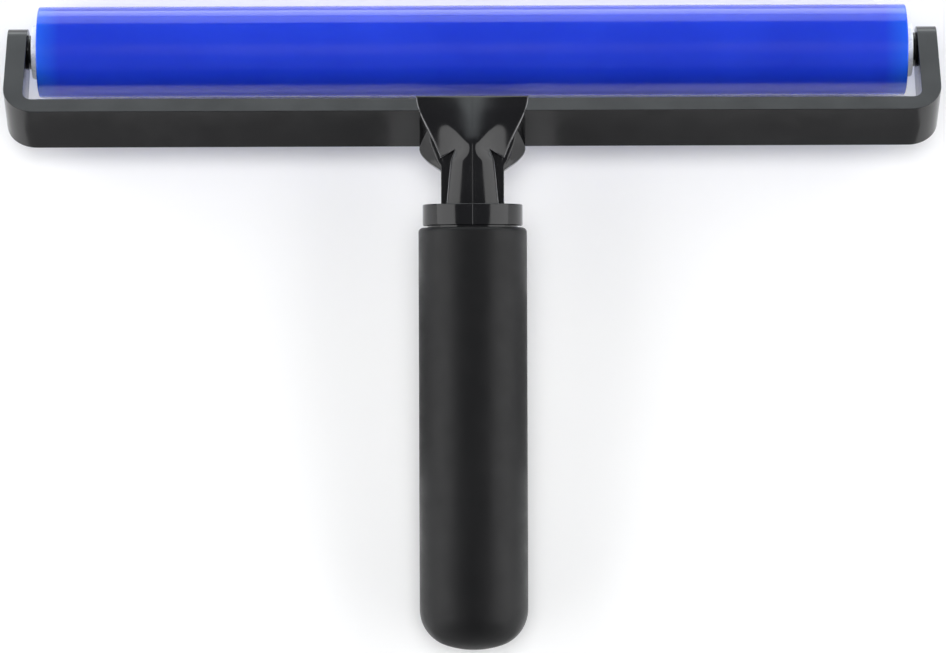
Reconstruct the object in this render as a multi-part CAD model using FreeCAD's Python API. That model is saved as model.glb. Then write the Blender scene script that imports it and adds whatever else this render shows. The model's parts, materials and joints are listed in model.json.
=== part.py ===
"""Brayer-type roller with a silicone sleeve: yoke, handle, axle and two ball bearings.

Tool frame while modelling: X along the roller, Y along the handle toward the roller, Z out of
the front. Yoke frame: the same X, Y from the bar toward the arm tips, Z out of the yoke's front.
At rest the tool lies with its roller and the end of its grip on the plane Z = 0.
"""

import FreeCAD, Part
import math
import os

V = FreeCAD.Vector
ORIGIN = V(0, 0, 0)
AXIS_X = V(1, 0, 0)
AXIS_Y = V(0, 1, 0)

# Yoke
YOKE_TILT = 38.0  # degrees between the handle's axis and the plane of the yoke
YOKE_HALF = 160.7
BAR_THICK = 5.8
BAR_DEPTH = 19.0
ARM_THICK = 6.8
TIP_RADIUS = 8.0
OUTER_CORNER = 11.0
INNER_CORNER = 3.0
AXLE_REACH = 34.1  # from the bar's outer face to the roller's axis
BOSS_RADIUS = 5.85
BOSS_LENGTH = 2.2
SCREW_RECESS_RADIUS = 4.5
SCREW_RECESS_DEPTH = 3.3

# Roller
ROLLER_HALF = 150.0
ROLLER_RADIUS = 15.75
ROLLER_EDGE = 0.5
CORE_RADIUS = 10.0
CORE_BORE = 8.5
PLUG_FLANGE_RADIUS = 9.35
PLUG_FLANGE = 2.3
PLUG_EDGE = 0.4
PLUG_LENGTH = 14.0
PLUG_BACK_BORE = 5.6

# Axle and its fastenings
AXLE_RADIUS = 3.0
AXLE_TAP_DEPTH = 14.0
AXLE_SCREW_RADIUS = 2.0
AXLE_SCREW_LENGTH = 12.0
AXLE_HEAD_RADIUS = 3.8
AXLE_HEAD = 2.3
HEX_KEY = 2.5
HEX_DEPTH = 1.3
CAP_THICK = 0.7

# Ball bearing, 6 x 15 x 5
BEARING_RADIUS = 7.5
BEARING_WIDTH = 5.0
BALL_RADIUS = 1.19
BALL_PITCH = 5.25
BALLS = 7
GROOVE_RADIUS = 1.23
INNER_SHOULDER = 4.54
OUTER_SHOULDER = 5.96
SHIELD_SEAT_RADIUS = 6.3
SHIELD_SEAT_DEPTH = 0.4
SHIELD_THICK = 0.25
SHIELD_BORE = 4.75
CAGE_INNER = 4.75
CAGE_OUTER = 5.75
CAGE_WIDTH = 3.0
WASHER_RADIUS = 4.2
WASHER_THICK = 0.5

# Handle
SADDLE_TOP = 5.2  # height up the bar's thickness
SADDLE_FRONT = 1.2
SADDLE_BACK = 2.5
NECK_RADIUS = 10.8
NECK_END = -32.1
COLLAR_RADIUS = 17.05
COLLAR_END = -39.4
COLLAR_EDGE = 0.45
GROOVE_NECK_RADIUS = 15.4
GRIP_START = -40.0
GRIP_END = -183.9
GRIP_RADIUS = 18.5
GRIP_TOP_EDGE = 1.6
GRIP_CORNER = 13.0
GRIP_DOME = 30.0
TANG_RADIUS = 15.0
TANG_END = -176.0
TANG_CORE = 7.0
TANG_RIB = 3.0
TANG_DISC = 3.5
TANG_DISCS = 4
TANG_RIB_GAP = 0.2

# The saddle's outline at stations down the handle: station, half width at the front face,
# half width at the back face, and how far the wings fall back from the middle ridge
SADDLE_STATIONS = [
    (6.0, 19.3, 20.0, 0.0),
    (3.0, 19.0, 20.0, 0.2),
    (0.0, 18.2, 19.9, 1.0),
    (-3.0, 16.9, 19.6, 2.3),
    (-6.0, 15.4, 19.2, 3.9),
    (-9.0, 14.1, 19.0, 5.1),
    (-12.0, 12.7, 18.4, 5.8),
    (-14.5, 11.6, 17.2, 6.1),
    (-16.5, 10.9, 15.9, 6.3),
    (-18.5, 10.2, 13.6, 6.5),
    (-21.0, 9.0, 10.1, 6.5),
    (-25.0, 6.0, 4.5, 5.0),
]
RIDGE_TOP_ROUND = 0.25  # roundness of the ridge at the saddle's top and at the neck
RIDGE_NECK_ROUND = 0.9
RIDGE_NECK = -14.0
SADDLE_STEPS = 20
SADDLE_CUTTER = 60.0  # wider than the saddle on every side

# Side pockets beside the rib on the front of the neck: half width of the rib at each station
RIB_STATIONS = [(-13.3, 5.8), (-17.0, 6.3), (-22.0, 7.2), (-27.0, 8.0), (NECK_END, 8.5)]
POCKET_CORNER = (12.6, -17.2)

# Hub screws
HUB_SCREW_X = 9.0
HUB_SCREW_RADIUS = 1.5
HUB_SCREW_HEAD = 2.8
HUB_SCREW_LENGTH = 14.0
HUB_DRIVE_SIZE = 0.7
HUB_DRIVE_LENGTH = 3.0
HUB_DRIVE_DEPTH = 0.9

ARM_INNER = YOKE_HALF - ARM_THICK
BOSS_FACE = ARM_INNER - BOSS_LENGTH
BEARING_FACE = BOSS_FACE - WASHER_THICK
BEARING_MID = BEARING_FACE - BEARING_WIDTH / 2
RECESS_FLOOR = YOKE_HALF - SCREW_RECESS_DEPTH


def rest_pose():
    """Tilt that puts the roller and the corner of the grip's end on one plane, and the shifts
    that bring that plane to Z = 0 and centre the tool front to back."""
    tilt = math.radians(YOKE_TILT)
    axle_y = AXLE_REACH * math.cos(tilt) - TIP_RADIUS * math.sin(tilt)
    axle_z = -AXLE_REACH * math.sin(tilt) - TIP_RADIUS * math.cos(tilt)
    inset = GRIP_RADIUS - GRIP_CORNER
    dome_y = GRIP_END + GRIP_DOME
    corner_y = dome_y - math.sqrt((GRIP_DOME - GRIP_CORNER) ** 2 - inset**2)
    span_y = axle_y - corner_y
    span_z = -inset - axle_z
    reach = math.hypot(span_y, span_z)
    angle = math.atan2(span_z, span_y) + math.asin((ROLLER_RADIUS - GRIP_CORNER) / reach)
    floor = corner_y * math.sin(angle) - inset * math.cos(angle) - GRIP_CORNER
    back = dome_y * math.cos(angle) - GRIP_DOME
    front = axle_y * math.cos(angle) - axle_z * math.sin(angle) + ROLLER_RADIUS
    return angle, -(back + front) / 2, -floor


def from_yoke(shape):
    """Yoke frame to tool frame."""
    turned = shape.copy()
    turned.rotate(ORIGIN, AXIS_X, -YOKE_TILT)
    return turned


def stand(shape):
    """Tool frame to the resting position on the plane Z = 0."""
    angle, shift_y, shift_z = rest_pose()
    turned = shape.copy()
    turned.rotate(ORIGIN, AXIS_X, math.degrees(angle))
    turned.translate(V(0, shift_y, shift_z))
    return turned


def rod_x(radius, start, end, bore=0.0):
    """Round bar or tube along the roller's axis, in the yoke frame."""
    base = V(start, AXLE_REACH, -TIP_RADIUS)
    rod = Part.makeCylinder(radius, end - start, base, AXIS_X)
    if bore:
        rod = rod.cut(Part.makeCylinder(bore, end - start, base, AXIS_X))
    return rod


def rod_y(radius, start, end, bore=0.0):
    """Round bar or tube along the handle's axis, in the tool frame."""
    base = V(0, end, 0)
    rod = Part.makeCylinder(radius, start - end, base, AXIS_Y)
    if bore:
        rod = rod.cut(Part.makeCylinder(bore, start - end, base, AXIS_Y))
    return rod


def both_sides(shape):
    """A shape on the right and its mirror image on the left, as one set."""
    return Part.makeCompound([shape, mirrored(shape)])


def mirrored(shape):
    return shape.mirror(ORIGIN, AXIS_X)


def prism(points, direction):
    """Straight-sided block from a closed outline."""
    wire = Part.makePolygon(points + [points[0]])
    return Part.Face(wire).extrude(direction)


def edges_at(shape, x, y):
    """Straight edges along Z at the given position."""
    found = []
    for edge in shape.Edges:
        ends = [v.Point for v in edge.Vertexes]
        if len(ends) == 2 and all(abs(p.x - x) < 1e-6 and abs(p.y - y) < 1e-6 for p in ends):
            found.append(edge)
    return found


def make_yoke():
    """U frame with its tips rounded about the axle, bosses, axle bores and screw recesses."""
    tip = AXLE_REACH + TIP_RADIUS
    body = prism(
        [
            V(-YOKE_HALF, tip, 0),
            V(-YOKE_HALF, 0, 0),
            V(YOKE_HALF, 0, 0),
            V(YOKE_HALF, tip, 0),
            V(ARM_INNER, tip, 0),
            V(ARM_INNER, BAR_THICK, 0),
            V(-ARM_INNER, BAR_THICK, 0),
            V(-ARM_INNER, tip, 0),
        ],
        V(0, 0, -BAR_DEPTH),
    )
    outer = edges_at(body, YOKE_HALF, 0) + edges_at(body, -YOKE_HALF, 0)
    body = body.makeFillet(OUTER_CORNER, outer)
    inner = edges_at(body, ARM_INNER, BAR_THICK) + edges_at(body, -ARM_INNER, BAR_THICK)
    body = body.makeFillet(INNER_CORNER, inner)
    side = Part.Wire(
        [
            Part.makeLine(V(-YOKE_HALF, 0, 0), V(-YOKE_HALF, AXLE_REACH, 0)),
            Part.Arc(
                V(-YOKE_HALF, AXLE_REACH, 0),
                V(-YOKE_HALF, tip, -TIP_RADIUS),
                V(-YOKE_HALF, AXLE_REACH, -2 * TIP_RADIUS),
            ).toShape(),
            Part.makeLine(
                V(-YOKE_HALF, AXLE_REACH, -2 * TIP_RADIUS), V(-YOKE_HALF, BAR_THICK, -BAR_DEPTH)
            ),
            Part.makeLine(V(-YOKE_HALF, BAR_THICK, -BAR_DEPTH), V(-YOKE_HALF, 0, -BAR_DEPTH)),
            Part.makeLine(V(-YOKE_HALF, 0, -BAR_DEPTH), V(-YOKE_HALF, 0, 0)),
        ]
    )
    body = body.common(Part.Face(side).extrude(V(2 * YOKE_HALF, 0, 0)))
    for way in (1, -1):
        boss = rod_x(BOSS_RADIUS, BOSS_FACE, ARM_INNER + 1)
        bore = rod_x(AXLE_RADIUS, BOSS_FACE - 1, YOKE_HALF + 1)
        recess = rod_x(SCREW_RECESS_RADIUS, RECESS_FLOOR, YOKE_HALF + 1)
        if way < 0:
            boss = mirrored(boss)
            bore = mirrored(bore)
            recess = mirrored(recess)
        body = body.fuse(boss).cut(bore).cut(recess)
    for x in (-HUB_SCREW_X, HUB_SCREW_X):
        body = body.cut(hub_screw_hole(x))
    return from_yoke(body.removeSplitter())


def hub_screw_hole(x):
    base = V(x, BAR_THICK / 2, -BAR_DEPTH - SADDLE_BACK)
    return Part.makeCylinder(HUB_SCREW_RADIUS, HUB_SCREW_LENGTH, base, V(0, 0, 1))


def hub_screw_cone(x):
    base = V(x, BAR_THICK / 2, -BAR_DEPTH - SADDLE_BACK)
    height = HUB_SCREW_HEAD - HUB_SCREW_RADIUS
    return Part.makeCone(HUB_SCREW_HEAD, HUB_SCREW_RADIUS, height, base, V(0, 0, 1))


def make_hub_screws():
    """Two countersunk screws from the back of the saddle into the bar."""
    screws = []
    for x in (-HUB_SCREW_X, HUB_SCREW_X):
        screw = hub_screw_cone(x).fuse(hub_screw_hole(x))
        half = HUB_DRIVE_LENGTH / 2
        thin = HUB_DRIVE_SIZE / 2
        for wide, tall in ((half, thin), (thin, half)):
            slot = Part.makeBox(2 * wide, 2 * tall, 2 * HUB_DRIVE_DEPTH)
            corner = V(x - wide, BAR_THICK / 2 - tall, -BAR_DEPTH - SADDLE_BACK - HUB_DRIVE_DEPTH)
            slot.translate(corner)
            screw = screw.cut(slot)
        screws.append(from_yoke(screw))
    return Part.makeCompound(screws)


def plane_point(y, out):
    """Z in the tool frame of the plane `out` in front of the bar's front face, at height y."""
    tilt = math.radians(YOKE_TILT)
    up = (y - out * math.sin(tilt)) / math.cos(tilt)
    return out * math.cos(tilt) - up * math.sin(tilt)


def saddle_section(y, front, back, fall):
    """Closed outline of the saddle at one station down the handle."""
    middle = min(plane_point(y, SADDLE_FRONT), NECK_RADIUS - 0.05)
    rear = plane_point(y, -BAR_DEPTH - SADDLE_BACK)
    down = min(max(y / RIDGE_NECK, 0.0), 1.0)
    soft = RIDGE_TOP_ROUND + (RIDGE_NECK_ROUND - RIDGE_TOP_ROUND) * down
    full = math.sqrt(1 + soft**2) - soft
    points = []
    for step in range(-6, 7):
        part = step / 6
        slope = (math.sqrt(part**2 + soft**2) - soft) / full
        points.append(V(part * front, y, middle - fall * slope))
    face = Part.BSplineCurve()
    face.interpolate(points)
    left = V(-back, y, rear)
    right = V(back, y, rear)
    return Part.Wire(
        [
            face.toShape(),
            Part.makeLine(points[-1], right),
            Part.makeLine(right, left),
            Part.makeLine(left, points[0]),
        ]
    )


def between(table, y):
    """Smooth values of a table's columns at height y, from rows in falling order of height."""
    last = len(table) - 1
    row = 0
    while row < last - 1 and table[row + 1][0] > y:
        row += 1
    low, high = table[row], table[row + 1]
    before = table[max(row - 1, 0)]
    after = table[min(row + 2, last)]
    span = high[0] - low[0]
    part = (y - low[0]) / span
    values = []
    for column in range(1, len(low)):
        start = (high[column] - before[column]) / (high[0] - before[0]) * span
        end = (after[column] - low[column]) / (after[0] - low[0]) * span
        rise = high[column] - low[column]
        bend = start + end - 2 * rise
        values.append(
            low[column] + part * (start + part * (3 * rise - 2 * start - end + part * bend))
        )
    return values


def make_saddle():
    """Fan-shaped saddle that the bar drops into from the roller's side."""
    top = SADDLE_STATIONS[0][0]
    bottom = SADDLE_STATIONS[-1][0]
    sections = []
    for step in range(SADDLE_STEPS + 1):
        y = top + (bottom - top) * step / SADDLE_STEPS
        sections.append(saddle_section(y, *between(SADDLE_STATIONS, y)))
    body = Part.makeLoft(sections, True, False)
    left = -SADDLE_CUTTER / 2
    base = V(left, SADDLE_TOP, -SADDLE_CUTTER + NECK_RADIUS)
    above = Part.makeBox(SADDLE_CUTTER, SADDLE_CUTTER, SADDLE_CUTTER, base)
    slot = Part.makeBox(SADDLE_CUTTER, SADDLE_CUTTER, BAR_DEPTH, V(left, 0, -BAR_DEPTH))
    return body.cut(from_yoke(above)).cut(from_yoke(slot))


def pocket(way):
    """Open space beside the neck's front rib."""
    outer_x, corner_y = POCKET_CORNER
    points = [V(way * half, y, 0) for y, half in RIB_STATIONS]
    curve = Part.BSplineCurve()
    curve.interpolate(points)
    corner = V(way * outer_x, corner_y, 0)
    foot = V(way * outer_x, NECK_END, 0)
    wire = Part.Wire(
        [
            curve.toShape(),
            Part.makeLine(points[-1], foot),
            Part.makeLine(foot, corner),
            Part.makeLine(corner, points[0]),
        ]
    )
    return Part.Face(wire).extrude(V(0, 0, 2 * NECK_RADIUS))


def make_handle_core():
    """Saddle, neck, collar and the ribbed tang inside the grip."""
    top = SADDLE_STATIONS[6][0]
    body = make_saddle().fuse(rod_y(NECK_RADIUS, top, NECK_END - 1))
    for way in (1, -1):
        body = body.cut(pocket(way))
    collar = rod_y(COLLAR_RADIUS, NECK_END, COLLAR_END)
    rims = [e for e in collar.Edges if isinstance(e.Curve, Part.Circle)]
    collar = collar.makeFillet(COLLAR_EDGE, rims)
    body = body.fuse(collar)
    body = body.fuse(rod_y(GROOVE_NECK_RADIUS, COLLAR_END + 0.5, GRIP_START))
    tang = rod_y(TANG_CORE, GRIP_START + 1, TANG_END)
    rib = 2 * (TANG_RADIUS - TANG_RIB_GAP)
    length = GRIP_START - TANG_END
    tang = tang.fuse(Part.makeBox(rib, length, TANG_RIB, V(-rib / 2, TANG_END, -TANG_RIB / 2)))
    tang = tang.fuse(Part.makeBox(TANG_RIB, length, rib, V(-TANG_RIB / 2, TANG_END, -rib / 2)))
    for number in range(TANG_DISCS):
        start = GRIP_START - number * (length - TANG_DISC) / (TANG_DISCS - 1)
        tang = tang.fuse(rod_y(TANG_RADIUS, start, start - TANG_DISC))
    body = body.fuse(tang)
    for x in (-HUB_SCREW_X, HUB_SCREW_X):
        body = body.cut(from_yoke(hub_screw_hole(x).fuse(hub_screw_cone(x))))
    return body.removeSplitter()


def make_grip():
    """Soft sleeve: straight, closed at its domed end, with a blind bore for the tang."""
    inset = GRIP_RADIUS - GRIP_CORNER
    span = GRIP_DOME - GRIP_CORNER
    centre_y = GRIP_END + GRIP_DOME
    corner_y = centre_y - math.sqrt(span**2 - inset**2)
    reach = GRIP_DOME / span
    meet = V(inset * reach, centre_y - (centre_y - corner_y) * reach, 0)
    bend = math.atan2(-(corner_y - meet.y), meet.x - inset) / 2
    mid = V(inset + GRIP_CORNER * math.cos(bend), corner_y + GRIP_CORNER * math.sin(bend), 0)
    half = math.atan2(meet.x, centre_y - meet.y) / 2
    dome_mid = V(GRIP_DOME * math.sin(half), centre_y - GRIP_DOME * math.cos(half), 0)
    edge = GRIP_TOP_EDGE * (1 - math.sqrt(0.5))
    points = [
        V(TANG_RADIUS, TANG_END, 0),
        V(TANG_RADIUS, GRIP_START, 0),
        V(GRIP_RADIUS - GRIP_TOP_EDGE, GRIP_START, 0),
        V(GRIP_RADIUS, GRIP_START - GRIP_TOP_EDGE, 0),
        V(GRIP_RADIUS, corner_y, 0),
        V(0, GRIP_END, 0),
        V(0, TANG_END, 0),
    ]
    top_mid = V(GRIP_RADIUS - edge, GRIP_START - edge, 0)
    outline = Part.Wire(
        [
            Part.makeLine(points[0], points[1]),
            Part.makeLine(points[1], points[2]),
            Part.Arc(points[2], top_mid, points[3]).toShape(),
            Part.makeLine(points[3], points[4]),
            Part.Arc(points[4], mid, meet).toShape(),
            Part.Arc(meet, dome_mid, points[5]).toShape(),
            Part.makeLine(points[5], points[6]),
            Part.makeLine(points[6], points[0]),
        ]
    )
    return Part.Face(outline).revolve(ORIGIN, AXIS_Y, 360)


def make_axle_rod():
    rod = rod_x(AXLE_RADIUS, -RECESS_FLOOR, RECESS_FLOOR)
    for way in (1, -1):
        tap = rod_x(AXLE_SCREW_RADIUS, RECESS_FLOOR - AXLE_TAP_DEPTH, RECESS_FLOOR)
        rod = rod.cut(tap if way > 0 else mirrored(tap))
    return rod


def make_axle_screw():
    """Socket-head screw in the right arm."""
    screw = rod_x(AXLE_HEAD_RADIUS, RECESS_FLOOR, RECESS_FLOOR + AXLE_HEAD)
    screw = screw.fuse(rod_x(AXLE_SCREW_RADIUS, RECESS_FLOOR - AXLE_SCREW_LENGTH, RECESS_FLOOR))
    radius = HEX_KEY / math.sqrt(3)
    start = RECESS_FLOOR + AXLE_HEAD - HEX_DEPTH
    corners = []
    for turn in range(6):
        angle = math.radians(60 * turn)
        y = AXLE_REACH + radius * math.cos(angle)
        z = -TIP_RADIUS + radius * math.sin(angle)
        corners.append(V(start, y, z))
    return screw.cut(prism(corners, V(2 * HEX_DEPTH, 0, 0)))


def bearing_groove(middle):
    centre = V(middle, AXLE_REACH, -TIP_RADIUS)
    return Part.makeTorus(BALL_PITCH, GROOVE_RADIUS, centre, AXIS_X)


def make_bearing():
    """Right bearing: inner ring, outer ring, pair of shields, cage and balls."""
    low = BEARING_MID - BEARING_WIDTH / 2
    high = BEARING_MID + BEARING_WIDTH / 2
    groove = bearing_groove(BEARING_MID)
    inner = rod_x(INNER_SHOULDER, low, high, AXLE_RADIUS).cut(groove)
    outer = rod_x(BEARING_RADIUS, low, high, OUTER_SHOULDER).cut(groove)
    shields = []
    for face, inward in ((low, 1), (high, -1)):
        seat_end = face + inward * SHIELD_SEAT_DEPTH
        start, end = sorted((face, seat_end))
        outer = outer.cut(rod_x(SHIELD_SEAT_RADIUS, start, end))
        start, end = sorted((seat_end, seat_end - inward * SHIELD_THICK))
        shields.append(rod_x(SHIELD_SEAT_RADIUS, start, end, SHIELD_BORE))
    half = CAGE_WIDTH / 2
    cage = rod_x(CAGE_OUTER, BEARING_MID - half, BEARING_MID + half, CAGE_INNER)
    balls = []
    for number in range(BALLS):
        angle = 2 * math.pi * number / BALLS
        y = AXLE_REACH + BALL_PITCH * math.cos(angle)
        z = -TIP_RADIUS + BALL_PITCH * math.sin(angle)
        ball = Part.makeSphere(BALL_RADIUS, V(BEARING_MID, y, z))
        balls.append(ball)
        cage = cage.cut(ball)
    return inner, outer, Part.makeCompound(shields), cage, Part.makeCompound(balls)


def make_end_plug():
    """Right end plug: flange on the roller's end, barrel in the core, pocket for the bearing."""
    flange = rod_x(PLUG_FLANGE_RADIUS, ROLLER_HALF, ROLLER_HALF + PLUG_FLANGE)
    rims = [e for e in flange.Edges if isinstance(e.Curve, Part.Circle)]
    outer = [e for e in rims if e.CenterOfMass.x > ROLLER_HALF + 1]
    flange = flange.makeFillet(PLUG_EDGE, outer)
    plug = flange.fuse(rod_x(CORE_BORE, ROLLER_HALF - PLUG_LENGTH, ROLLER_HALF))
    pocket_floor = BEARING_MID - BEARING_WIDTH / 2
    plug = plug.cut(rod_x(BEARING_RADIUS, pocket_floor, ROLLER_HALF + PLUG_FLANGE + 1))
    return plug.cut(rod_x(PLUG_BACK_BORE, ROLLER_HALF - PLUG_LENGTH - 1, pocket_floor))


def make_silicone():
    sleeve = rod_x(ROLLER_RADIUS, -ROLLER_HALF, ROLLER_HALF)
    rims = [e for e in sleeve.Edges if isinstance(e.Curve, Part.Circle)]
    sleeve = sleeve.makeFillet(ROLLER_EDGE, rims)
    return sleeve.cut(rod_x(CORE_RADIUS, -ROLLER_HALF, ROLLER_HALF))


def make_all():
    """Every piece in the tool frame, by name."""
    plug = from_yoke(make_end_plug())
    inner, outer, shields, cage, balls = [from_yoke(piece) for piece in make_bearing()]
    cap = from_yoke(rod_x(SCREW_RECESS_RADIUS, YOKE_HALF - CAP_THICK, YOKE_HALF))
    washer = from_yoke(rod_x(WASHER_RADIUS, BEARING_FACE, BOSS_FACE, AXLE_RADIUS))
    pieces = {
        "yoke": make_yoke(),
        "handle_core": make_handle_core(),
        "grip": make_grip(),
        "hub_screws": make_hub_screws(),
        "axle_rod": from_yoke(make_axle_rod()),
        "axle_screws": both_sides(from_yoke(make_axle_screw())),
        "silicone_sleeve": from_yoke(make_silicone()),
        "core_tube": from_yoke(rod_x(CORE_RADIUS, -ROLLER_HALF, ROLLER_HALF, CORE_BORE)),
    }
    pairs = {
        "screw_cap": cap,
        "thrust_washer": washer,
        "end_plug": plug,
        "bearing_inner": inner,
        "bearing_outer": outer,
        "bearing_shields": shields,
        "bearing_cage": cage,
        "bearing_balls": balls,
    }
    for name, shape in pairs.items():
        pieces[name + "_right"] = shape
        pieces[name + "_left"] = mirrored(shape)
    return pieces


def main():
    os.makedirs("parts", exist_ok=True)
    for name, shape in make_all().items():
        stand(shape).exportStep(os.path.join("parts", name + ".step"))


main()
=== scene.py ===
"""Looks of a silicone brayer roller: yoke, handle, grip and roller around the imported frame.

Lengths are in metres. The tool frame has X along the roller, `up` along the handle toward the
roller and `out` toward the viewer; the yoke frame has `reach` from the bar toward the arm tips and
`face` out of the yoke's front. Both start at the lower edge of the bar's front face.
"""

import json
import math

import bmesh
import bpy
from mathutils import Matrix, Vector, noise


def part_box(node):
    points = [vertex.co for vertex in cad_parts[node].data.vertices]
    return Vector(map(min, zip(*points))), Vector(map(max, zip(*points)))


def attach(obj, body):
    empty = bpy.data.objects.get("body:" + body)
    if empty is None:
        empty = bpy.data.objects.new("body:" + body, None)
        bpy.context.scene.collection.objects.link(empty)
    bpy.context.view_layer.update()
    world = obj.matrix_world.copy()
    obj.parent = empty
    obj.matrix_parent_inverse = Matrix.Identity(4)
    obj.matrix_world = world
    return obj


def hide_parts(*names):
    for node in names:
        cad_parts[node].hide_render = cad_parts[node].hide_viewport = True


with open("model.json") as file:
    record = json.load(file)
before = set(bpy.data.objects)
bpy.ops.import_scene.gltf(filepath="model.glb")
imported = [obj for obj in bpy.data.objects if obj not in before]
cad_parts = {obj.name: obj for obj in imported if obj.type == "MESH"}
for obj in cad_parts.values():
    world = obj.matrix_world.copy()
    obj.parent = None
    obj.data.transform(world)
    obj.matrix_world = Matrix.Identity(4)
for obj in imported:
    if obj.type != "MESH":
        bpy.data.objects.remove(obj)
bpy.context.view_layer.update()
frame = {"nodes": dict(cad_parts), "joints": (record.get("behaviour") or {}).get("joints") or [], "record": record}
RECORD = frame["record"]
MM = 0.001

# Yoke, handle and grip: driving dimensions that the frame doesn't give directly. Heights along the
# handle are measured in the tool frame.
YOKE_TILT = math.radians(38.0)
GRIP_MID = 105.8 * MM
BAR_THICK = 5.8 * MM
BAR_DEPTH = 19.0 * MM
ARM_THICK = 6.8 * MM
OUTER_CORNER = 11.0 * MM
INNER_CORNER = 3.0 * MM
TIP_RADIUS = 8.0 * MM
AXLE_REACH = 34.1 * MM
NECK_END = -32.1 * MM
COLLAR_END = -39.4 * MM
GRIP_START = -40.0 * MM
GRIP_END = -183.9 * MM
COLLAR_RADIUS = 17.05 * MM
COLLAR_EDGE = 0.45 * MM
GRIP_RADIUS = 18.5 * MM
BOSS_RADIUS = 5.85 * MM


def find_named(rows, name):
    for row in rows:
        if row["name"] == name:
            return row
    raise ValueError(name)


CLIP = find_named(RECORD["mounts"], "grip_clip")
X = Vector((1, 0, 0))
UP = -Vector(CLIP["axis"]).normalized()
OUT = X.cross(UP)
ORIGIN = Vector(CLIP["pos_m"]) + UP * GRIP_MID
REACH = UP * math.cos(YOKE_TILT) - OUT * math.sin(YOKE_TILT)
FACE = UP * math.sin(YOKE_TILT) + OUT * math.cos(YOKE_TILT)
AXLE = Vector(find_named(frame["joints"], "roller_spin")["pos_m"])
SIDES = (("right", 1), ("left", -1))


def tool(x, up, out):
    """World place of a point given in the tool frame, in metres."""
    return ORIGIN + X * x + UP * up + OUT * out


def tool_mm(x, up, out):
    return tool(x * MM, up * MM, out * MM)


def in_tool_mm(place):
    """The reverse of tool_mm: x, up and out of a world place."""
    away = place - ORIGIN
    return away.dot(X) / MM, away.dot(UP) / MM, away.dot(OUT) / MM


def yoke(x, reach, face):
    """World place of a point given in the yoke frame, in metres."""
    return ORIGIN + X * x + REACH * reach + FACE * face


def node_half(node):
    """How far a CAD node reaches to the right of the middle."""
    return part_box(node)[1][0]


def node_radius(node):
    """Radius of a round CAD node on the axle."""
    low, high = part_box(node)
    return (high[2] - low[2]) / 2


ROLLER_HALF = node_half("silicone_sleeve")
YOKE_HALF = node_half("yoke")
ROLLER_RADIUS = node_radius("silicone_sleeve")
CORE_RADIUS = node_radius("core_tube")
ARM_INNER = YOKE_HALF - ARM_THICK
BOSS_FACE = node_half("thrust_washer_right")


# ---------------------------------------------------------------- materials

# Colour sockets of a Mix node: its other kinds of value have sockets of the same names
MIX_FIRST, MIX_SECOND, MIX_RESULT = 6, 7, 2


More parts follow.
